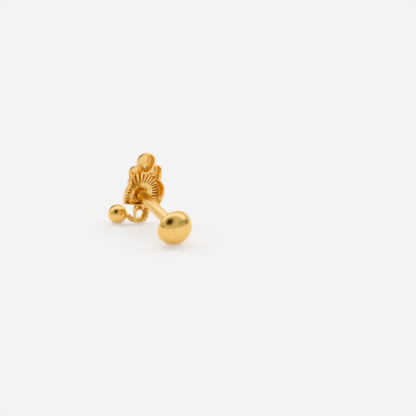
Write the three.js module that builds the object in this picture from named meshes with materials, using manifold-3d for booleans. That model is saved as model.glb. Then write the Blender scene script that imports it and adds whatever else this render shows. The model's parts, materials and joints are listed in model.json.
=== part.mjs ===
// A stud earring in plain gold: a hollow stamped flower on a tubular post, a dome-headed screw
// that closes the post behind the ear lobe, and a polished ball that hangs from the flower on a
// looped twist of wire. It stands the way it lies on a table, on the screw's dome, the wire loop
// and the ball. Millimetres, +Z up, the post pointing along -Y.

import * as THREE from "three";
import { mergeVertices } from "three/addons/utils/BufferGeometryUtils.js";
import Module from "manifold-3d";

const wasm = await Module();
wasm.setup();

const degrees = THREE.MathUtils.degToRad;

// ---------------------------------------------------------------- driving dimensions, mm

const POST_SLOPE = degrees(12.6); // how far the post dips towards its screw at rest

// The flower is drawn on its own back: x across, y towards the top petal, n along the post.
// n is 0 at the back rim and negative towards the flower's front.
const FLOWER_ROLL = degrees(-3);
const WALL = 0.25;
const FULLNESS = 2.4; // shape of the domed lobes: 2 is an ellipse, more is squarer
const BODY = { x: 0.08, y: 0.08, radius: 3.36, depth: 2.15, segments: 60 };
const PETALS = [
  { x: -0.33, y: 5.6, radius: 1.52, depth: 1.75, segments: 36 },
  { x: 1.5, y: 3.82, radius: 1.1, depth: 1.65, segments: 30 },
  { x: -1.7, y: 3.95, radius: 1.25, depth: 1.65, segments: 30 },
];
const SHOULDERS = [
  { x: 1.75, y: 3.0, radius: 1.0, depth: 1.5, segments: 24 },
  { x: -1.8, y: 2.3, radius: 1.1, depth: 1.5, segments: 24 },
];
const HEART = { x: -0.15, y: 3.62, radius: 1.78, depth: 1.8, segments: 28 };
const CUP_DEPTH = 1.25; // petals' hollows
const SHARED_DEPTH = 0.72; // down to here the hollows run into one another
const LOWER_EDGE = { y: -1.36, tilt: -7 }; // the flower's lower edge is straight; tilt in degrees
// The petals' rims lie nearer the front than the body's: the back steps down between two heights.
const STEP = { fromY: 1.5, toY: 3.1, drop: 0.4 };
const THROAT = { y: 2.2, halfWidth: 1.95, topY: 4.5, topHalfWidth: 1.1 };

// The fluted dish is the floor of the body's hollow, a shallow cone about the post.
const DISH = { radius: 2.6, reach: 3.85, centre: -1.33, slope: 0.206 };
const FLUTES = { count: 30, inner: 1.92, bottom: -1.1, innerWidth: 0.16, outerWidth: 0.48 };
const COLLAR = { outer: 1.12, inner: 0.94, top: -0.85 };
const POST = { radius: 0.8, length: 8.06, bore: 0.46, boreDepth: 5.0 };

const SCREW = {
  gap: 0.1,
  faceRadius: 1.55,
  radius: 2.66,
  shoulder: 0.76,
  dome: 2.3,
  shankRadius: 0.38,
  shankLength: 4.7,
  tip: 0.1,
};

// The drop is placed from the point where the post's axis meets the flower's back rim:
// x across and y behind it; its heights are above the table.
const BALL = { radius: 1.43, x: -2.65, y: 3.36 };
const LOOP = { x: 0.2, y: 1.42, halfWidth: 1.08, top: 2.83, turn: degrees(13) };
const ROPE = { strand: 0.2, lay: 0.19, core: 0.12, pitch: 0.74, sides: 5, stepsPerTurn: 7 };
const PLAIN_WIRE = { radius: 0.25, sides: 8, steps: 24 };
const HANGER_EYE = { wire: 0.15, radius: 0.75, x: 0.2, y: -1.9, n: -1.05 };

const GOLD = { color: 0xe6a93a, roughness: 0.14, metalness: 1 };

// ---------------------------------------------------------------- solids and meshes

// A closed geometry as a solid that can be joined and cut.
function solid(geometry) {
  const shell = geometry.clone();
  shell.deleteAttribute("normal");
  shell.deleteAttribute("uv");
  const merged = mergeVertices(shell, 1e-5);
  const mesh = new wasm.Mesh({
    numProp: 3,
    vertProperties: new Float32Array(merged.attributes.position.array),
    triVerts: new Uint32Array(merged.index.array),
  });
  return new wasm.Manifold(mesh);
}

const join = (solids) => solids.reduce((whole, next) => whole.add(next));

function namedMesh(name, shape, finish) {
  const { numProp, vertProperties, triVerts } = shape.getMesh();
  const positions = new Float32Array((vertProperties.length / numProp) * 3);
  for (let i = 0; i < positions.length / 3; i += 1) {
    positions.set(vertProperties.subarray(i * numProp, i * numProp + 3), i * 3);
  }
  const geometry = new THREE.BufferGeometry();
  geometry.setAttribute("position", new THREE.BufferAttribute(positions, 3));
  geometry.setIndex(new THREE.BufferAttribute(new Uint32Array(triVerts), 1));
  geometry.computeVertexNormals();
  const mesh = new THREE.Mesh(geometry, new THREE.MeshStandardMaterial(finish));
  mesh.name = name;
  return mesh;
}

// A body of revolution about the post's direction, from [radius, n] pairs with n rising.
function turned(profile, segments, x = 0, y = 0) {
  const points = profile.map(([radius, n]) => new THREE.Vector2(radius, n));
  const geometry = new THREE.LatheGeometry(points, segments);
  geometry.rotateX(Math.PI / 2);
  geometry.translate(x, y, 0);
  return solid(geometry);
}

const cylinder = (radius, from, to, segments, x = 0, y = 0) =>
  turned([[0, from], [radius, from], [radius, to], [0, to]], segments, x, y);

// A flat outline of [x, y] corners raised from one depth to another.
function prism(corners, from, to) {
  const outline = new THREE.Shape(corners.map(([x, y]) => new THREE.Vector2(x, y)));
  const geometry = new THREE.ExtrudeGeometry(outline, { depth: to - from, bevelEnabled: false });
  geometry.translate(0, 0, from);
  return solid(geometry);
}

function wire(path, radius, sides, steps) {
  const section = new THREE.Shape();
  section.absarc(0, 0, radius, 0, 2 * Math.PI);
  const options = { steps, curveSegments: sides, bevelEnabled: false, extrudePath: path };
  return solid(new THREE.ExtrudeGeometry(section, options));
}

// ---------------------------------------------------------------- the flower

// Half of a rounded bowl: from its lowest point up to its full radius at n = 0.
function bowlProfile(radius, depth, rings = 8) {
  const profile = [];
  for (let i = 0; i <= rings; i += 1) {
    const a = (i / rings) * (Math.PI / 2);
    const r = radius * Math.sin(a) ** (2 / FULLNESS);
    const n = -depth * Math.cos(a) ** (2 / FULLNESS);
    profile.push([r, n]);
  }
  profile[rings][1] = 0;
  return profile;
}

const lobe = ({ x, y, radius, depth, segments }) =>
  turned([...bowlProfile(radius, depth), [0, 0]], segments, x, y);

const cup = ({ x, y, radius, segments }, depth) =>
  turned([...bowlProfile(radius - WALL, depth, 6), [radius - WALL, 1], [0, 1]], segments, x, y);

function sharedHollow({ x, y, radius, segments }) {
  return cylinder(radius - WALL, -SHARED_DEPTH, 1, segments, x, y);
}

// Everything above the straight lower edge, raised by an offset.
function aboveEdge(offset) {
  const reach = 12;
  const edge = LOWER_EDGE.y + offset;
  const kept = prism([[-reach, edge], [reach, edge], [reach, reach], [-reach, reach]], -reach, reach);
  return kept.rotate([0, 0, LOWER_EDGE.tilt]);
}

// What is planed off the back so that the petals' rims lie lower than the body's.
function steppedBack() {
  const { fromY, toY, drop } = STEP;
  const reach = 12;
  const side = prism([[fromY, 0], [toY, -drop], [reach, -drop], [reach, 1], [fromY, 1]], -reach, reach);
  return side.rotate([90, 0, 90]);
}

function throat() {
  const { y, halfWidth, topY, topHalfWidth } = THROAT;
  const corners = [[-halfWidth, y], [halfWidth, y], [topHalfWidth, topY], [-topHalfWidth, topY]];
  return prism(corners, -CUP_DEPTH, 1);
}

const dishHeight = (r) => DISH.centre + DISH.slope * r;

// The body's hollow: a conical floor that runs on through the throat, with its ring of flutes.
function flutedHollow() {
  const { reach, radius } = DISH;
  const cone = turned([[0, dishHeight(0)], [reach, dishHeight(reach)], [reach, 1], [0, 1]], BODY.segments);
  const { count, inner, bottom, innerWidth, outerWidth } = FLUTES;
  const corners = [
    [inner, -innerWidth / 2],
    [reach, -outerWidth / 2],
    [reach, outerWidth / 2],
    [inner, innerWidth / 2],
  ];
  const groove = prism(corners, bottom, 0);
  const parts = [cone];
  for (let i = 0; i < count; i += 1) {
    parts.push(groove.rotate([0, 0, (i * 360) / count]));
  }
  const floorPlan = cylinder(radius, -2, 1, BODY.segments).add(throat());
  return join(parts).intersect(floorPlan);
}

function flowerShell() {
  const outside = join([BODY, HEART, ...PETALS, ...SHOULDERS].map(lobe)).intersect(aboveEdge(0));
  const hollows = join([
    ...[BODY, ...PETALS, ...SHOULDERS].map(sharedHollow),
    ...PETALS.map((petal) => cup(petal, CUP_DEPTH)),
    flutedHollow(),
    throat().intersect(cylinder(12, -SHARED_DEPTH, 1, 4)),
  ]);
  return outside.subtract(hollows.intersect(aboveEdge(WALL))).subtract(steppedBack());
}

// ---------------------------------------------------------------- the stud and its screw

function post() {
  const tube = cylinder(POST.radius, DISH.centre - WALL / 2, POST.length, 32);
  const bore = cylinder(POST.bore, POST.length - POST.boreDepth, POST.length + 1, 20);
  return tube.subtract(bore);
}

function collar() {
  const ring = cylinder(COLLAR.outer, DISH.centre - WALL / 2, COLLAR.top, 32);
  return ring.subtract(cylinder(COLLAR.inner, DISH.centre, 0, 32));
}

// A wire eye soldered under the flower's lower edge; the drop's loop runs through it.
function hangerEye() {
  const geometry = new THREE.TorusGeometry(HANGER_EYE.radius, HANGER_EYE.wire, 8, 24);
  geometry.rotateY(Math.PI / 2);
  geometry.translate(HANGER_EYE.x, HANGER_EYE.y, HANGER_EYE.n);
  return solid(geometry);
}

function studBody() {
  const flower = flowerShell().rotate([0, 0, THREE.MathUtils.radToDeg(FLOWER_ROLL)]);
  return join([flower, collar(), post(), hangerEye()]);
}

function screw() {
  const face = POST.length + SCREW.gap;
  const tipEnd = face - SCREW.shankLength;
  const profile = [
    [0, tipEnd],
    [SCREW.shankRadius - SCREW.tip, tipEnd],
    [SCREW.shankRadius, tipEnd + SCREW.tip],
    [SCREW.shankRadius, face],
  ];
  const shoulderSteps = 5;
  for (let i = 0; i <= shoulderSteps; i += 1) {
    const a = (i / shoulderSteps) * (Math.PI / 2);
    const r = SCREW.faceRadius + (SCREW.radius - SCREW.faceRadius) * Math.sin(a);
    profile.push([r, face + SCREW.shoulder * (1 - Math.cos(a))]);
  }
  const domeSteps = 10;
  for (let i = 1; i < domeSteps; i += 1) {
    const a = (i / domeSteps) * (Math.PI / 2);
    profile.push([SCREW.radius * Math.cos(a), face + SCREW.shoulder + SCREW.dome * Math.sin(a)]);
  }
  profile.push([0, face + SCREW.shoulder + SCREW.dome]);
  return turned(profile, 44);
}

// ---------------------------------------------------------------- the drop

const loopBottom = ROPE.lay + ROPE.strand;
const loopHalfHeight = (LOOP.top - PLAIN_WIRE.radius - loopBottom) / 2;

// A point in the loop's upright plane: u to the right, v up from the loop's centre.
function loopPoint(u, v) {
  return new THREE.Vector3(
    LOOP.x + u * Math.cos(LOOP.turn),
    LOOP.y + u * Math.sin(LOOP.turn),
    loopBottom + loopHalfHeight + v,
  );
}

function ovalPoint(angle) {
  return loopPoint(LOOP.halfWidth * Math.cos(angle), loopHalfHeight * Math.sin(angle));
}

function ovalArc(fromDegrees, toDegrees, count) {
  const points = [];
  for (let i = 0; i <= count; i += 1) {
    points.push(ovalPoint(degrees(fromDegrees + ((toDegrees - fromDegrees) * i) / count)));
  }
  return points;
}

// One strand of a twist, winding about a centreline.
class Strand extends THREE.Curve {
  constructor(centreline, turns, phase) {
    super();
    this.centreline = centreline;
    this.turns = turns;
    this.phase = phase;
    this.samples = 240;
    this.frames = centreline.computeFrenetFrames(this.samples, false);
  }

  getPoint(t, target = new THREE.Vector3()) {
    const i = Math.min(this.samples, Math.round(t * this.samples));
    const angle = this.phase + 2 * Math.PI * this.turns * t;
    return target
      .copy(this.centreline.getPointAt(t))
      .addScaledVector(this.frames.normals[i], ROPE.lay * Math.cos(angle))
      .addScaledVector(this.frames.binormals[i], ROPE.lay * Math.sin(angle));
  }
}

function twistedStem(ballCentre) {
  const arc = ovalArc(232, 402, 8);
  const towardsLoop = arc[0].clone().sub(ballCentre).normalize();
  const start = ballCentre.clone().addScaledVector(towardsLoop, 0.8 * BALL.radius);
  const surface = ballCentre.clone().addScaledVector(towardsLoop, 1.1 * BALL.radius);
  const centreline = new THREE.CatmullRomCurve3([start, surface, ...arc], false, "centripetal");
  const turns = centreline.getLength() / ROPE.pitch;
  const steps = Math.round(turns * ROPE.stepsPerTurn);
  const strands = [0, Math.PI].map((phase) => new Strand(centreline, turns, phase));
  const core = wire(centreline, ROPE.core, ROPE.sides, steps);
  return join([core, ...strands.map((strand) => wire(strand, ROPE.strand, ROPE.sides, steps))]);
}

// The wire's plain end closes the loop: over the top, straight down the left side, on to the stem.
function plainEnd() {
  const left = -LOOP.halfWidth;
  const points = [
    ...ovalArc(385, 510, 6),
    loopPoint(left, 0.3 * loopHalfHeight),
    loopPoint(left, -0.25 * loopHalfHeight),
    loopPoint(0.95 * left, -0.75 * loopHalfHeight),
  ];
  const centreline = new THREE.CatmullRomCurve3(points, false, "centripetal");
  return wire(centreline, PLAIN_WIRE.radius, PLAIN_WIRE.sides, PLAIN_WIRE.steps);
}

function ballDrop() {
  const centre = new THREE.Vector3(BALL.x, BALL.y, BALL.radius);
  const ball = new THREE.SphereGeometry(BALL.radius, 32, 16);
  ball.rotateX(Math.PI / 2);
  ball.translate(centre.x, centre.y, centre.z);
  return join([solid(ball), twistedStem(centre), plainEnd()]);
}

// ---------------------------------------------------------------- assembly

const stud = new THREE.Group();
stud.rotation.x = Math.PI / 2 + POST_SLOPE;
stud.add(namedMesh("stud_body", studBody(), GOLD));
const screwMesh = namedMesh("screw", screw(), GOLD);
stud.add(screwMesh);
// The stud is lowered until the screw's dome touches the table.
stud.updateMatrixWorld(true);
stud.position.z = -new THREE.Box3().setFromObject(screwMesh, true).min.z;

const earring = new THREE.Group();
earring.add(stud);
earring.add(namedMesh("ball_drop", ballDrop(), GOLD));

// The origin is under the middle of the whole earring.
earring.updateMatrixWorld(true);
const extent = new THREE.Box3().setFromObject(earring, true);
const middle = extent.getCenter(new THREE.Vector3());
earring.position.set(-middle.x, -middle.y, -extent.min.z);

export default earring;
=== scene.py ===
import json
import math

import bpy
from mathutils import Matrix, Vector


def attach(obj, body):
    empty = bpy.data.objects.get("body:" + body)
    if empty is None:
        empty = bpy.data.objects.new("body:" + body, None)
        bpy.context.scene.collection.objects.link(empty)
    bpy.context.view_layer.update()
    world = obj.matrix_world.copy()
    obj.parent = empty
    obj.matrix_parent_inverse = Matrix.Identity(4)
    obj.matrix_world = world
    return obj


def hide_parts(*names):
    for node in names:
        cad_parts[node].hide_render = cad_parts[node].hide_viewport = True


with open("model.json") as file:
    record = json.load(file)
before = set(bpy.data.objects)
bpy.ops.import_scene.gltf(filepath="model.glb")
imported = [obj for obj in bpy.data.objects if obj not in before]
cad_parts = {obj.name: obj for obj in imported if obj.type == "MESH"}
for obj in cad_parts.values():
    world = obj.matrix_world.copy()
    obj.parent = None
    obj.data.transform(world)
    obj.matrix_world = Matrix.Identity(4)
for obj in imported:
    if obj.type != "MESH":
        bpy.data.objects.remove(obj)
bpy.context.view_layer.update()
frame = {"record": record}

# A gold screw-back stud: a hollow stamped flower on a tubular post, a domed screw, and a ball on a
# twisted wire loop. Everything is modelled in millimetres on the stud's own axes (x across, y towards
# the top petal, z along the post from the flower's back rim to the screw) or, for the drop, on upright
# axes above the table, and is then set down in its place in metres.

MM = 0.001
CLOSE = 1e-4  # mm: points nearer than this are one point
FAR = 12  # mm: well past the edge of any piece
ABOVE = 1  # mm: the height to which the tools that hollow the flower stand over its rim

# ---------------------------------------------------------------- where the stud stands

record = frame["record"]
post_axis = Vector(record["behaviour"]["joints"][0]["axis"]).normalized()
across = Vector((1, 0, 0))
petal_up = post_axis.cross(across).normalized()
rim_point = Vector(record["mounts"][0]["pos_m"])
RIM_MOUNT = (3.3146, -0.0936)  # where that mount lies on the flower's back, x and y in mm
stud_origin = rim_point - MM * (RIM_MOUNT[0] * across + RIM_MOUNT[1] * petal_up)

ON_STUD = Matrix.Translation(stud_origin) @ Matrix(
    (across, petal_up, post_axis)
).transposed().to_4x4() @ Matrix.Scale(MM, 4)
ON_TABLE = Matrix.Translation((stud_origin.x, stud_origin.y, 0)) @ Matrix.Scale(MM, 4)

# ---------------------------------------------------------------- camera

VIEW_AZIMUTH = math.radians(31)
VIEW_ELEVATION = math.radians(20)
CAMERA_DISTANCE = 0.35
FRAME_WIDTH = 0.06118  # metres across the view at the stud
AIM = (9.38, -1.59)  # mm to the right of and above the stud's origin, as seen
SENSOR = 36
NEAREST = 0.01  # metres: nothing nearer to the camera is drawn
level_view = Vector((math.sin(VIEW_AZIMUTH), math.cos(VIEW_AZIMUTH), 0))
view_right = Vector((math.cos(VIEW_AZIMUTH), -math.sin(VIEW_AZIMUTH), 0))
view_dir = level_view * math.cos(VIEW_ELEVATION) - Vector((0, 0, math.sin(VIEW_ELEVATION)))
view_up = view_right.cross(view_dir)
aim = stud_origin + MM * (AIM[0] * view_right + AIM[1] * view_up)

bpy.ops.object.camera_add(location=aim - CAMERA_DISTANCE * view_dir)
camera = bpy.context.object
camera.rotation_euler = view_dir.to_track_quat("-Z", "Y").to_euler()
camera.data.sensor_width = SENSOR
camera.data.lens = SENSOR * CAMERA_DISTANCE / FRAME_WIDTH
camera.data.clip_start = NEAREST
bpy.context.scene.camera = camera

# ---------------------------------------------------------------- hand tools


def pick(obj):
    bpy.ops.object.select_all(action="DESELECT")
    bpy.context.view_layer.objects.active = obj
    obj.select_set(True)


def edit(mode="VERT"):
    bpy.ops.object.mode_set(mode="EDIT")
    bpy.ops.mesh.select_mode(type=mode)
    bpy.ops.mesh.select_all(action="SELECT")


def done():
    bpy.ops.object.mode_set(mode="OBJECT")


def named(name):
    obj = bpy.context.object
    obj.name = obj.data.name = name
    return obj


def settle():
    """Takes the picked object's place, turn and size into its mesh."""
    bpy.ops.object.transform_apply(location=True, rotation=True, scale=True)


def join(parts):
    """Makes one object of the parts, which keeps the first one's name."""
    pick(parts[0])
    for part in parts:
        part.select_set(True)
    bpy.ops.object.join()
    return bpy.context.object


def face_out():
    """Turns every face of the mesh being edited outwards."""
    bpy.ops.mesh.select_all(action="SELECT")
    bpy.ops.mesh.normals_make_consistent(inside=False)


def chain(name, points):
    """A chain of edges through the points, drawn one point after another."""
    bpy.ops.object.select_all(action="DESELECT")
    bpy.ops.mesh.primitive_plane_add(size=0.1)
    obj = named(name)
    edit()
    bpy.ops.mesh.merge(type="CENTER")
    bpy.ops.transform.translate(value=points[0])
    for a, b in zip(points, points[1:]):
        step = tuple(q - p for p, q in zip(a, b))
        bpy.ops.mesh.extrude_vertices_move(TRANSFORM_OT_translate={"value": step})
    done()
    return obj


def turned(name, profile, segments, centre=(0, 0)):
    """A turned piece: a profile of [radius, height] points spun round an upright axis."""
    x, y = centre
    obj = chain(name, [(x + r, y, h) for r, h in profile])
    edit()
    bpy.ops.mesh.spin(
        steps=segments, angle=2 * math.pi, center=(x, y, 0), axis=(0, 0, 1), use_auto_merge=False
    )
    bpy.ops.mesh.select_all(action="SELECT")
    bpy.ops.mesh.remove_doubles(threshold=CLOSE)
    bpy.ops.mesh.normals_make_consistent(inside=False)
    done()
    return obj


def block(name, low, high, turn=0.0):
    """A square-edged block, turned about the upright axis through the origin."""
    size = [b - a for a, b in zip(low, high)]
    middle = [(a + b) / 2 for a, b in zip(low, high)]
    bpy.ops.object.select_all(action="DESELECT")
    bpy.ops.mesh.primitive_cube_add(size=1, location=middle, scale=size)
    obj = named(name)
    settle()
    obj.rotation_euler.z = turn
    settle()
    return obj


def disc(radius, vertices, **where):
    """A filled disc that faces along x, ready to be drawn out into wire."""
    bpy.ops.mesh.primitive_circle_add(
        vertices=vertices, radius=radius, fill_type="NGON", rotation=(0, math.pi / 2, 0), **where
    )
    return bpy.context.object


def combine(body, tools, operation):
    """Joins tools to a body, cuts them from it, or keeps what they share."""
    for tool in tools:
        pick(body)
        bpy.ops.object.modifier_add(type="BOOLEAN")
        step = body.modifiers[-1]
        step.operation = operation
        step.solver = "MANIFOLD"
        step.object = tool
        bpy.ops.object.modifier_apply(modifier=step.name)
        bpy.data.objects.remove(tool)
    return body


KEPT = 0.55  # share of a cast skin's faces that is kept


def cast(obj, grain, rounds):
    """Turns a sharp-cornered solid into one skin with softened edges, as casting and polishing do."""
    pick(obj)
    bpy.ops.object.modifier_add(type="REMESH")
    skin_step = obj.modifiers[-1]
    skin_step.mode = "VOXEL"
    skin_step.voxel_size = grain
    bpy.ops.object.modifier_apply(modifier=skin_step.name)
    bpy.ops.object.modifier_add(type="SMOOTH")
    rub = obj.modifiers[-1]
    rub.factor = 0.5
    rub.iterations = rounds
    bpy.ops.object.modifier_apply(modifier=rub.name)
    bpy.ops.object.modifier_add(type="DECIMATE")
    thin = obj.modifiers[-1]
    thin.ratio = KEPT
    bpy.ops.object.modifier_apply(modifier=thin.name)
    return obj


def smooth(obj, angle=None):
    pick(obj)
    if angle is None:
        bpy.ops.object.shade_smooth()
    else:
        bpy.ops.object.shade_smooth_by_angle(angle=math.radians(angle))
    return obj


def set_down(obj, place, body, material):
    """Sets a finished piece in its place in metres, on the body it moves with."""
    pick(obj)
    obj.matrix_world = place
    settle()
    obj.data.materials.clear()
    obj.data.materials.append(material)
    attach(obj, body)
    return obj


# ---------------------------------------------------------------- gold

CORNER_SHADE_TONE = (0.4, 0.2, 0.06)  # painted shade: the darker tone laid into corners and recesses, where shade falls
FULL_SHADE_AO, NO_SHADE_AO = 0.02, 0.55  # how open a spot is where it is all painted shade, and where it has none
TONE_RANGE = (0.35, 0.6)  # the part of the drift over which one tone gives way to the other
POLISH_RANGE = (0.3, 0.7)


def gold(
    name, tone, dull_tone, tone_size, roughness, rough_size, bump, bump_size, stretch=(1, 1, 1), shade_width=0
):
    """Yellow gold with small drifts of tone and polish; sizes in mm, stretch along the stud's axes.

    Painted shade: corners and recesses are darkened by ambient occlusion, reaching the width in mm given
    last; 0 paints none.
    """
    material = bpy.data.materials.new(name)
    material.use_nodes = True
    nodes, links = material.node_tree.nodes, material.node_tree.links
    shader = nodes["Principled BSDF"]
    shader.inputs["Metallic"].default_value = 1.0
    place = nodes.new("ShaderNodeTexCoord")
    turn = nodes.new("ShaderNodeMapping")
    turn.inputs["Rotation"].default_value = ON_STUD.to_euler()
    turn.vector_type = "TEXTURE"
    links.new(place.outputs["Object"], turn.inputs["Vector"])
    squeeze = nodes.new("ShaderNodeMapping")
    squeeze.inputs["Scale"].default_value = stretch
    links.new(turn.outputs["Vector"], squeeze.inputs["Vector"])

    def drift(size, detail):
        noise = nodes.new("ShaderNodeTexNoise")
        noise.inputs["Scale"].default_value = 1 / (size * MM)
        noise.inputs["Detail"].default_value = detail
        links.new(squeeze.outputs["Vector"], noise.inputs["Vector"])
        return noise.outputs["Fac"]

    def spread(value, low_high, ends=None):
        """Stretches the part of a value between low and high to run from 0 to 1, or between ends."""
        step = nodes.new("ShaderNodeMapRange")
        step.inputs["From Min"].default_value, step.inputs["From Max"].default_value = low_high
        if ends:
            step.inputs["To Min"].default_value, step.inputs["To Max"].default_value = ends
        links.new(value, step.inputs["Value"])
        return step.outputs["Result"]

    def blend(factor, colour):
        """A mix that starts from a plain colour; the other one is linked or set by its user."""
        mix = nodes.new("ShaderNodeMix")
        mix.data_type = "RGBA"
        mix.inputs["A"].default_value = (*colour, 1)
        links.new(factor, mix.inputs["Factor"])
        return mix

    tones = blend(spread(drift(tone_size, 3), TONE_RANGE), dull_tone)
    tones.inputs["B"].default_value = (*tone, 1)
    colour = tones.outputs["Result"]
    # painted shade: corners and recesses darkened by ambient occlusion
    if shade_width:
        reach = nodes.new("ShaderNodeAmbientOcclusion")
        reach.only_local = True
        reach.samples = 12
        reach.inputs["Distance"].default_value = shade_width * MM
        corner_shade = blend(spread(reach.outputs["AO"], (FULL_SHADE_AO, NO_SHADE_AO)), CORNER_SHADE_TONE)
        links.new(colour, corner_shade.inputs["B"])
        colour = corner_shade.outputs["Result"]
    links.new(colour, shader.inputs["Base Color"])
    links.new(spread(drift(rough_size, 4), POLISH_RANGE, roughness), shader.inputs["Roughness"])

    relief = nodes.new("ShaderNodeBump")
    relief.inputs["Strength"].default_value = 1.0
    relief.inputs["Distance"].default_value = bump * MM
    links.new(drift(bump_size, 3), relief.inputs["Height"])
    links.new(relief.outputs["Normal"], shader.inputs["Normal"])
    return material


polished = gold(
    "polished_gold",
    tone=(0.93, 0.615, 0.22),
    dull_tone=(0.9, 0.58, 0.19),
    tone_size=0.9,
    roughness=(0.07, 0.13),
    rough_size=0.6,
    bump=0.007,
    bump_size=0.5,
)
stamped = gold(
    "stamped_gold",
    tone=(0.94, 0.665, 0.3),
    dull_tone=(0.86, 0.54, 0.19),
    tone_size=0.45,
    roughness=(0.13, 0.24),
    rough_size=0.35,
    bump=0.01,
    bump_size=0.3,
    # painted shade 0.4 mm into the flower's corners and recesses
    shade_width=0.4,
)
drawn = gold(
    "drawn_gold",
    tone=(0.94, 0.67, 0.29),
    dull_tone=(0.9, 0.6, 0.22),
    tone_size=0.4,
    roughness=(0.16, 0.25),
    rough_size=0.25,
    bump=0.003,
    bump_size=0.2,
    stretch=(3, 3, 0.25),
)
# painted shade: a darker copy of the drawn gold for the twisted and plain wires, its tones lowered so that
# they read as lying in shade; the tone still drifts at random
twisted = gold(
    "shaded_wire_gold",
    tone=(0.9, 0.62, 0.26),
    dull_tone=(0.8, 0.5, 0.17),
    tone_size=0.4,
    roughness=(0.14, 0.24),
    rough_size=0.25,
    bump=0.004,
    bump_size=0.2,
    # painted shade 0.22 mm into the crevices of the wires
    shade_width=0.22,
)

# ---------------------------------------------------------------- the flower

FULLNESS = 2.4  # 2 is a plain ellipse; more is a fuller, squarer bowl
BOWL_RINGS = 14
RIM = 0.13  # thickness of the metal at the rims
FLOWER_ROLL = math.radians(-3)
EDGE = {"y": -1.37, "tilt": math.radians(-8)}  # the straight lower edge

# each bowl: x, y, radius, depth and the number of its segments
BODY = (0.08, 0.08, 3.38, 2.17, 72)
HEART = (-0.17, 3.62, 1.78, 1.95, 40)
TOP_PETAL = (-0.33, 5.6, 1.54, 1.77, 48)
SIDE_PETALS = [(1.5, 3.82, 1.12, 1.67, 40), (-1.7, 3.95, 1.27, 1.67, 40)]
SHOULDERS = [(1.75, 3.0, 1.02, 1.5, 32), (-1.8, 2.3, 1.12, 1.5, 32)]

TRAY = {"foot": 2.72, "floor": -0.88}
DISH = {"radius": 2.55, "reach": 4.7, "centre": -1.33, "slope": 0.206, "under": -2}
FLUTES = {"count": 30, "inner": 1.88, "outer": 4.3, "turn": math.radians(-2.5)}
# each end of a flute: height of its bottom and top, and half their widths
FLUTE_INNER_END = {"low": (-1.2, 0.02), "high": (-0.87, 0.11)}
FLUTE_OUTER_END = {"low": (-0.98, 0.05), "high": (-0.33, 0.26)}
COLLAR = {
    "inner": 1.1,
    "outer": 1.4,
    "top": -0.86,
    "foot": -1.45,
    "root": -1.5,  # where its foot ends inside the metal
    "centre": (-0.07, 0.14),
    "lean": 0.16,
}
STEP_BACK = {"from": 1.5, "to": 3.1, "by": -0.4}  # the petals' rims lie this much nearer the front
LEFT_LEAN = {"from": -1, "by": -1.6}  # the rim's slope to the left, taken at FAR
GRAIN, RUBBING = 0.038, 3  # mm, and rounds of smoothing

# each pocket: discs of (x, y, height, radius); a skin is drawn tight round the discs
TOP_POCKET = [
    [(-0.28, 5.6, -1.35, 0.84), (0.1, 4.85, -1.2, 0.4), (0.02, 4.3, -1.12, 0.1)]
    + [(-0.3, 5.6, -0.9, 0.96), (0.12, 4.75, -0.9, 0.46), (0.02, 4.2, -0.9, 0.14)],
    [(-0.3, 5.6, -1.05, 1.08), (0.08, 4.75, -1.0, 0.52), (0, 4.2, -0.95, 0.16)]
    + [(-0.33, 5.6, 0.4, 1.62), (0.05, 4.7, 0.4, 0.66), (-0.02, 4.1, 0.4, 0.3)],
]
RIGHT_POCKET = [
    [(1.36, 3.96, -1.38, 0.44), (1.5, 3.46, -1.26, 0.36), (1.12, 3.84, -1.3, 0.3)]
    + [(1.36, 4.0, -0.9, 0.54), (1.52, 3.42, -0.9, 0.46), (1.08, 3.86, -0.9, 0.38)],
    [(1.42, 3.88, -1.05, 0.74), (1.6, 3.3, -1.0, 0.5), (1.0, 3.85, -1.05, 0.42)]
    + [(1.54, 3.83, 0.4, 1.24), (1.68, 3.2, 0.4, 1.0), (0.9, 3.85, 0.4, 0.5)],
]
LEFT_POCKET = [
    [(-1.95, 4.45, -1.0, 0.42), (-1.2, 4.35, -1.0, 0.38), (-1.65, 4.5, -1.0, 0.5)]
    + [(-2.0, 4.3, 0.4, 1.0), (-1.15, 4.45, 0.4, 0.6), (-1.75, 4.35, 0.4, 1.05)],
]
THROAT = [(-2.3, 1.0), (2.0, 1.0), (1.85, 2.6), (0.9, 3.35), (-0.5, 3.65), (-1.7, 3.85), (-2.3, 3.2)]
THROAT_FLOOR = -1.3
THROAT_CORNER = 0.1


def bowl(radius, depth, rings):
    """The profile of a full, rounded bowl from its lowest point up to its edge."""
    points = []
    for i in range(rings + 1):
        a = math.pi / 2 * i / rings
        r = radius * math.sin(a) ** (2 / FULLNESS)
        h = -depth * max(0.0, math.cos(a)) ** (2 / FULLNESS)
        points.append((r, h))
    points[-1] = (radius, 0)
    return points


def lobe(x, y, radius, depth, segments):
    return turned("lobe", bowl(radius, depth, BOWL_RINGS) + [(0, 0)], segments, (x, y))


def skin(name, discs):
    """A solid drawn tight round a few level discs."""
    bpy.ops.object.select_all(action="DESELECT")
    parts = []
    for x, y, height, radius in discs:
        bpy.ops.mesh.primitive_circle_add(vertices=40, radius=radius, location=(x, y, height))
        parts.append(bpy.context.object)
        settle()
    join(parts)
    obj = named(name)
    edit()
    bpy.ops.mesh.convex_hull()
    face_out()
    done()
    return obj


def above_edge(offset):
    return block("edge", (-FAR, EDGE["y"] + offset, -FAR), (FAR, FAR, FAR), EDGE["tilt"])


def dish_height(r):
    return DISH["centre"] + DISH["slope"] * r


def throat():
    """The way by which the dish runs on between the petals."""
    return skin("throat", [(x, y, h, THROAT_CORNER) for x, y in THROAT for h in (THROAT_FLOOR, ABOVE)])


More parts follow.
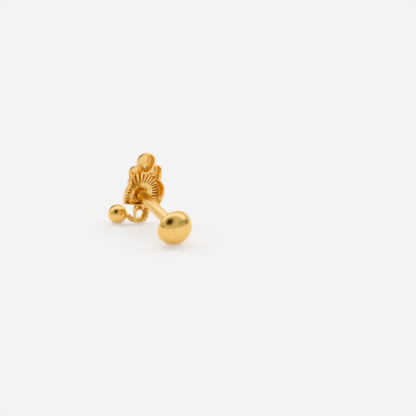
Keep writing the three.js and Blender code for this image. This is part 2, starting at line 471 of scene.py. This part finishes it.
def flutes():
    """A ring of V-shaped grooves that widen and deepen outwards."""
    f = FLUTES
    wedge = block("flute", (f["inner"], -1, -1), (f["outer"], 1, 1))
    for v in wedge.data.vertices:
        end = FLUTE_INNER_END if v.co.x < (f["inner"] + f["outer"]) / 2 else FLUTE_OUTER_END
        height, half_width = end["low" if v.co.z < 0 else "high"]
        v.co.z = height
        v.co.y *= half_width
    pick(wedge)
    wedge.rotation_euler.z = f["turn"]
    settle()
    copies = [wedge]
    for i in range(1, f["count"]):
        pick(wedge)
        bpy.ops.object.duplicate(linked=False)
        copy = bpy.context.object
        copy.rotation_euler.z = 2 * math.pi * i / f["count"]
        settle()
        copies.append(copy)
    return join(copies)


def fluted_hollow():
    reach, radius, under = DISH["reach"], DISH["radius"], DISH["under"]
    cone = turned(
        "dish_hollow",
        [(0, dish_height(0)), (reach, dish_height(reach)), (reach, ABOVE), (0, ABOVE)],
        96,
    )
    combine(cone, [flutes()], "UNION")
    plan = turned("dish_plan", [(0, under), (radius, under), (radius, ABOVE), (0, ABOVE)], 96)
    combine(plan, [throat()], "UNION")
    return combine(cone, [plan], "INTERSECT")


def gutter():
    """The tray's steep wall, which rises from a narrow gutter round the dish, outside the throat."""
    x, y, radius, _, _ = BODY
    foot, floor_height = TRAY["foot"], TRAY["floor"]
    start = DISH["radius"] - 0.03  # a little inside the dish, so that the two meet
    rim = radius - RIM
    lip = rim + (rim - foot) / -floor_height
    ring = turned(
        "gutter",
        [(start, floor_height), (foot, floor_height), (lip, ABOVE), (start, ABOVE), (start, floor_height)],
        96,
        (x, y),
    )
    return combine(ring, [throat()], "DIFFERENCE")


def stepped_back():
    """What is planed off so that the petals' rims, and the left side's, lie nearer the front."""
    s, lean = STEP_BACK, LEFT_LEAN
    ramp = block("step", (-FAR, s["from"], s["by"]), (FAR, FAR, ABOVE))
    for v in ramp.data.vertices:
        if v.co.y > s["to"]:
            v.co.y = s["to"]
        elif v.co.z < 0:
            v.co.z = 0
    petals = block("slope", (-FAR, s["to"], s["by"]), (FAR, FAR, ABOVE))
    left = block("left_slope", (-FAR, -FAR, 0), (lean["from"], FAR, ABOVE))
    for v in left.data.vertices:
        if v.co.x < -FAR / 2 and v.co.z < ABOVE / 2:
            v.co.z = lean["by"]
    return combine(ramp, [petals, left], "UNION")


def make_collar():
    """A round bead about the post's root, sheared a little lower to the right."""
    c = COLLAR
    middle, half = (c["inner"] + c["outer"]) / 2, (c["outer"] - c["inner"]) / 2
    bead = [(middle - half, c["root"])]
    for i in range(9):
        a = math.pi * i / 8
        bead.append((middle - half * math.cos(a), c["top"] - half + half * math.sin(a)))
    bead += [(middle + half, c["root"]), (middle - half, c["root"])]
    collar = turned("collar", bead, 64, c["centre"])
    for v in collar.data.vertices:
        if v.co.z > c["root"] + 0.1:
            v.co.z -= c["lean"] * (v.co.x - c["centre"][0] + c["outer"])
    return collar


def make_flower():
    flower = lobe(*BODY)
    flower.name = flower.data.name = "flower"
    combine(flower, [lobe(*p) for p in [HEART, TOP_PETAL, *SIDE_PETALS, *SHOULDERS]], "UNION")
    combine(flower, [above_edge(0)], "INTERSECT")
    scoop = fluted_hollow()
    hollows = [gutter()]
    for pocket in (TOP_POCKET, RIGHT_POCKET, LEFT_POCKET):
        hollows += [skin("pocket", discs) for discs in pocket]
    combine(scoop, hollows, "UNION")
    combine(scoop, [above_edge(RIM)], "INTERSECT")
    combine(flower, [scoop, stepped_back()], "DIFFERENCE")
    pick(flower)
    flower.rotation_euler.z = FLOWER_ROLL
    settle()
    c = COLLAR
    inner = c["inner"]
    gap = turned("gap", [(0, c["foot"]), (inner, c["foot"]), (inner, 0), (0, 0)], 64, c["centre"])
    combine(flower, [gap], "DIFFERENCE")
    combine(flower, [make_collar()], "UNION")
    return smooth(cast(flower, GRAIN, RUBBING))


flower = set_down(make_flower(), ON_STUD, "stud", stamped)
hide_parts("stud_body")

# ---------------------------------------------------------------- the post

POST = {"radius": 0.8, "length": 8.06, "bore": 0.46, "bore_depth": 5.0, "round": 0.06}
POST_ROOT = [(0, -1.45), (0.94, -1.45), (0.9, -1.28), (0.83, -1.16)]  # the solder at its foot
ROOT_TOP = -1.0


def make_post():
    p = POST
    end, soft = p["length"], p["round"]
    profile = POST_ROOT + [(p["radius"], ROOT_TOP)]
    profile += [(p["radius"], end - soft), (p["radius"] - 0.3 * soft, end - 0.3 * soft)]
    profile += [(p["radius"] - soft, end), (p["bore"] + soft, end), (p["bore"], end - soft)]
    profile += [(p["bore"], end - p["bore_depth"]), (0, end - p["bore_depth"])]
    return smooth(turned("post_tube", profile, 64), 35)


set_down(make_post(), ON_STUD, "stud", drawn)

# ---------------------------------------------------------------- the eye

EYE = {"radius": 0.75, "wire": 0.2, "centre": (0.2, -1.9, -1.05)}


def make_eye():
    bpy.ops.object.select_all(action="DESELECT")
    bpy.ops.mesh.primitive_torus_add(
        major_radius=EYE["radius"],
        minor_radius=EYE["wire"],
        major_segments=64,
        minor_segments=20,
        location=EYE["centre"],
        rotation=(0, math.pi / 2, 0),
    )
    eye = named("hanger_eye")
    settle()
    return smooth(eye)


set_down(make_eye(), ON_STUD, "stud", drawn)

# ---------------------------------------------------------------- the screw

SCREW = {
    "face": 8.16,
    "face_radius": 1.55,
    "radius": 2.66,
    "shoulder": 0.76,
    "dome": 2.3,
    "shank": 0.38,
    "shank_length": 4.7,
}
SHOULDER_STEPS, DOME_STEPS = 12, 28
THREAD = {"pitch": 0.3, "depth": 0.07, "rise": 0.1, "crest": 0.14, "foot": 0.24}
THREAD_START, THREAD_END = 0.16, 0.4  # how far it keeps from the tip and from the dome's face


def make_screw_head():
    s = SCREW
    profile = [(0, s["face"]), (s["face_radius"] - 0.05, s["face"])]
    for i in range(1, SHOULDER_STEPS + 1):
        a = math.pi / 2 * i / SHOULDER_STEPS
        r = s["face_radius"] + (s["radius"] - s["face_radius"]) * math.sin(a)
        profile.append((r, s["face"] + s["shoulder"] * (1 - math.cos(a))))
    for i in range(1, DOME_STEPS):
        a = math.pi / 2 * i / DOME_STEPS
        profile.append(
            (s["radius"] * math.cos(a), s["face"] + s["shoulder"] + s["dome"] * math.sin(a))
        )
    profile.append((0, s["face"] + s["shoulder"] + s["dome"]))
    return smooth(turned("screw_dome", profile, 96), 50)


screw_head = set_down(make_screw_head(), ON_STUD, "screw_back", polished)
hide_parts("screw")


def make_shank():
    """A threaded shank: turned rings that look like a fine thread."""
    s, t = SCREW, THREAD
    tip = s["face"] - s["shank_length"]
    root = s["shank"] - t["depth"]
    profile = [(0, tip), (root - 0.06, tip), (root, tip + 0.08)]
    height = tip + THREAD_START
    while height < s["face"] - THREAD_END:
        profile += [(root, height), (s["shank"], height + t["rise"]), (s["shank"], height + t["crest"])]
        profile.append((root, height + t["foot"]))
        height += t["pitch"]
    profile += [(root, height), (root, s["face"] + 0.1), (0, s["face"] + 0.1)]
    return smooth(turned("screw_shank", profile, 40), 40)


set_down(make_shank(), ON_STUD, "screw_back", drawn)

# ---------------------------------------------------------------- the drop

BALL = {"radius": 1.43, "x": -2.65, "y": 3.36}
LOOP = {"x": 0.17, "y": 1.42, "height": 1.53, "turn": math.radians(12)}
ROPE = {"strands": 3, "strand": 0.38, "lay": 0.2, "pitch": 1.35, "flatness": 1.15}
STEPS_PER_TURN = 20
STEM = {"thickness": 0.7, "from": 2.0, "to": 3.4}  # the twist is thinner as far as the loop
STEM_AIM = 0.45  # the stem leaves the ball towards a point this far above the loop's near end
STEM_SAG = {"along": 0.68, "drop": 0.02}
OUTER_WIRE = 0.25
INNER_WIRE = 0.2
WIRE_STEPS = 60
ball_centre = Vector((BALL["x"], BALL["y"], BALL["radius"]))


def loop_point(u, v):
    """A point in the loop's upright plane: u to the right, v up from the loop's middle."""
    return Vector(
        (
            LOOP["x"] + u * math.cos(LOOP["turn"]),
            LOOP["y"] + u * math.sin(LOOP["turn"]),
            LOOP["height"] + v,
        )
    )


TWISTED_PART = [(-0.72, -0.92), (-0.25, -0.95), (0.27, -0.88), (0.7, -0.6), (0.98, -0.16)]
TWISTED_PART += [(1.04, 0.27), (0.92, 0.6)]


def bent_along(name, points):
    """A smooth path through the points, for wire to be bent along."""
    bpy.ops.object.select_all(action="DESELECT")
    bpy.ops.curve.primitive_bezier_curve_add()
    path = named(name)
    path.data.dimensions = "3D"
    path.data.resolution_u = 24
    spline = path.data.splines[0]
    spline.bezier_points.add(len(points) - len(spline.bezier_points))
    for knot, point in zip(spline.bezier_points, points):
        knot.co = point
        knot.handle_left_type = knot.handle_right_type = "AUTO"
    return path


def bend(obj, path):
    """Bends a straight piece, drawn along x, to a path."""
    pick(obj)
    bpy.ops.object.modifier_add(type="CURVE")
    step = obj.modifiers[-1]
    step.object = path
    step.deform_axis = "POS_X"
    bpy.ops.object.modifier_apply(modifier=step.name)
    bpy.data.objects.remove(path)
    return obj


def make_ball():
    bpy.ops.object.select_all(action="DESELECT")
    bpy.ops.mesh.primitive_uv_sphere_add(
        segments=96, ring_count=48, radius=BALL["radius"], location=ball_centre
    )
    ball = named("drop_ball")
    settle()
    return smooth(ball)


ball = set_down(make_ball(), ON_TABLE, "stud", polished)
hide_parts("ball_drop")


def make_twist():
    """Wires twisted together, then bent from the ball round the loop."""
    arc = [loop_point(u, v) for u, v in TWISTED_PART]
    towards = (arc[0] + Vector((0, 0, STEM_AIM)) - ball_centre).normalized()
    start = ball_centre + towards * 0.8 * BALL["radius"]
    surface = ball_centre + towards * 1.1 * BALL["radius"]
    sag = ball_centre.lerp(arc[0], STEM_SAG["along"]) - Vector((0, 0, STEM_SAG["drop"]))
    path = bent_along("twist_path", [start, surface, sag, *arc])
    length = path.data.splines[0].calc_length()
    steps = int(length / ROPE["pitch"] * STEPS_PER_TURN)
    bpy.ops.object.select_all(action="DESELECT")
    strands = []
    for i in range(ROPE["strands"]):
        strand = disc(ROPE["strand"], 16, location=(0, ROPE["lay"], 0), scale=(ROPE["flatness"], 1, 1))
        settle()
        strand.rotation_euler.x = 2 * math.pi * i / ROPE["strands"]
        settle()
        strands.append(strand)
    join(strands)
    twist = named("drop_twist")
    edit("FACE")
    for i in range(steps):
        bpy.ops.mesh.extrude_region_move(
            TRANSFORM_OT_translate={"value": (length / steps, 0, 0)}
        )
        bpy.ops.transform.rotate(
            value=2 * math.pi * length / steps / ROPE["pitch"],
            orient_axis="X",
            center_override=(0, 0, 0),
        )
    face_out()
    done()
    for v in twist.data.vertices:
        along_stem = min(1, max(0, (v.co.x - STEM["from"]) / (STEM["to"] - STEM["from"])))
        v.co.y *= STEM["thickness"] + (1 - STEM["thickness"]) * along_stem
        v.co.z *= STEM["thickness"] + (1 - STEM["thickness"]) * along_stem
    return smooth(bend(twist, path), 60)


set_down(make_twist(), ON_TABLE, "stud", twisted)


def plain_wire(name, radius, points):
    """Round wire bent through points in the loop's plane."""
    path = bent_along(name + "_path", [loop_point(u, v) for u, v in points])
    length = path.data.splines[0].calc_length()
    bpy.ops.object.select_all(action="DESELECT")
    disc(radius, 24)
    wire = named(name)
    settle()
    edit("FACE")
    for _ in range(WIRE_STEPS):
        bpy.ops.mesh.extrude_region_move(
            TRANSFORM_OT_translate={"value": (length / WIRE_STEPS, 0, 0)}
        )
    face_out()
    done()
    return smooth(bend(wire, path), 60)


# The wire's plain end: over the top of the loop, round a corner and straight down its left side.
OVER_THE_TOP = [(1.02, 0.4), (0.8, 0.88), (0.35, 1.17), (-0.25, 1.33), (-0.9, 1.42), (-1.13, 1.27)]
DOWN_THE_LEFT = [(-1.16, 0.75), (-1.15, 0.0), (-1.13, -0.5), (-0.95, -0.85)]
outer_wire = plain_wire("outer_wire", OUTER_WIRE, OVER_THE_TOP + DOWN_THE_LEFT)
set_down(outer_wire, ON_TABLE, "stud", twisted)

# A second turn of the wire lies inside it along the top.
INSIDE = [(0.9, 0.1), (0.72, 0.5), (0.3, 0.76), (-0.25, 0.86), (-0.75, 0.8), (-1.05, 0.5)]
inner_wire = plain_wire("inner_wire", INNER_WIRE, INSIDE)
set_down(inner_wire, ON_TABLE, "stud", twisted)

# ---------------------------------------------------------------- floor and studio

PAPER = {"tone": (0.62, 0.612, 0.604), "glow": (0.98, 0.99, 1.02), "glow_strength": 0.41}

bpy.ops.object.select_all(action="DESELECT")
bpy.ops.mesh.primitive_plane_add(size=2)
floor = named("floor")
paper = bpy.data.materials.new("white_paper")
paper.use_nodes = True
paper_shader = paper.node_tree.nodes["Principled BSDF"]
paper_shader.inputs["Base Color"].default_value = (*PAPER["tone"], 1)
paper_shader.inputs["Emission Color"].default_value = (*PAPER["glow"], 1)
paper_shader.inputs["Emission Strength"].default_value = PAPER["glow_strength"]
paper_shader.inputs["Roughness"].default_value = 0.9
floor.data.materials.append(paper)

# The tent's plain light runs from FRONT_LIGHT to BACK_LIGHT; a brighter band stands at the sides,
# above the height of BAND_HEIGHT, and fades towards the back.
FRONT_LIGHT, BACK_LIGHT = 0.72, 0.88
BAND_LIGHT = 2.6
BAND_START, BAND_FADE, BAND_HEIGHT = (-0.1, 0.25), (0.3, 0.6), (0.3, 0.6)
BACKDROP = 0.965
# each card: azimuth and elevation, half width and half height, in degrees; softness; light let by
CARDS = [
    (-26, 45, 22, 21, 0.28, 0.06),
    (-69, 8, 7, 7, 0.06, 0.5),
    (68, 25, 24, 11, 0.12, 0.7),
    (105, 12, 16, 16, 0.15, 0.55),
    (-148, 18, 18, 18, 0.15, 0.3),
]


def studio():
    """A white light tent: bright behind and above, softer in front, with a dark opening in front."""
    world = bpy.data.worlds.new("light_tent")
    bpy.context.scene.world = world
    world.use_nodes = True
    nodes, links = world.node_tree.nodes, world.node_tree.links
    background = nodes["Background"]
    place = nodes.new("ShaderNodeTexCoord")

    def along(direction):
        dot = nodes.new("ShaderNodeVectorMath")
        dot.operation = "DOT_PRODUCT"
        links.new(place.outputs["Generated"], dot.inputs[0])
        dot.inputs[1].default_value = direction
        return dot.outputs["Value"]

    def ramp(value, low, high, start, end):
        step = nodes.new("ShaderNodeMapRange")
        step.interpolation_type = "SMOOTHSTEP"
        step.inputs["From Min"].default_value = low
        step.inputs["From Max"].default_value = high
        step.inputs["To Min"].default_value = start
        step.inputs["To Max"].default_value = end
        links.new(value, step.inputs["Value"])
        return step.outputs["Result"]

    def maths(operation, a, b=None):
        node = nodes.new("ShaderNodeMath")
        node.operation = operation
        for socket, value in zip(node.inputs, (a, b)):
            if value is None:
                continue
            if isinstance(value, (int, float)):
                socket.default_value = value
            else:
                links.new(value, socket)
        return node.outputs["Value"]

    def card(azimuth, elevation, half_width, half_height, soft, let_by):
        """How much of the light a flat card lets by; azimuth 0 is towards the camera."""
        a, e = math.radians(azimuth), math.radians(elevation)
        level = -level_view * math.cos(a) + view_right * math.sin(a)
        facing = level * math.cos(e) + Vector((0, 0, math.sin(e)))
        sideways = Vector((0, 0, 1)).cross(level)
        upward = facing.cross(sideways)
        depth_out = maths("MAXIMUM", along(facing), 0.001)
        masks = []
        for axis, half in ((sideways, half_width), (upward, half_height)):
            spread = maths("ABSOLUTE", maths("DIVIDE", along(axis), depth_out))
            t = math.tan(math.radians(half))
            masks.append(ramp(spread, t - soft, t + soft, 1, 0))
        mask = maths("MULTIPLY", masks[0], masks[1])
        mask = maths("MULTIPLY", mask, ramp(along(facing), 0.0, 0.1, 0, 1))
        return maths("SUBTRACT", 1, maths("MULTIPLY", mask, 1 - let_by))

    behind = along(level_view)
    height = along(Vector((0, 0, 1)))
    band = maths("MULTIPLY", ramp(behind, *BAND_START, 0, BAND_LIGHT), ramp(behind, *BAND_FADE, 1, 0.0))
    band = maths("MULTIPLY", band, ramp(height, *BAND_HEIGHT, 0, 1))
    light = maths("ADD", band, ramp(behind, 0, 0.5, FRONT_LIGHT, BACK_LIGHT))
    for each in CARDS:
        light = maths("MULTIPLY", light, card(*each))
    seen = nodes.new("ShaderNodeLightPath")
    pale = nodes.new("ShaderNodeMix")
    links.new(seen.outputs["Is Camera Ray"], pale.inputs["Factor"])
    links.new(light, pale.inputs["A"])
    pale.inputs["B"].default_value = BACKDROP
    links.new(pale.outputs["Result"], background.inputs["Strength"])
    background.inputs["Color"].default_value = (1, 1, 1, 1)


studio()
bpy.context.scene.view_settings.view_transform = "Khronos PBR Neutral"
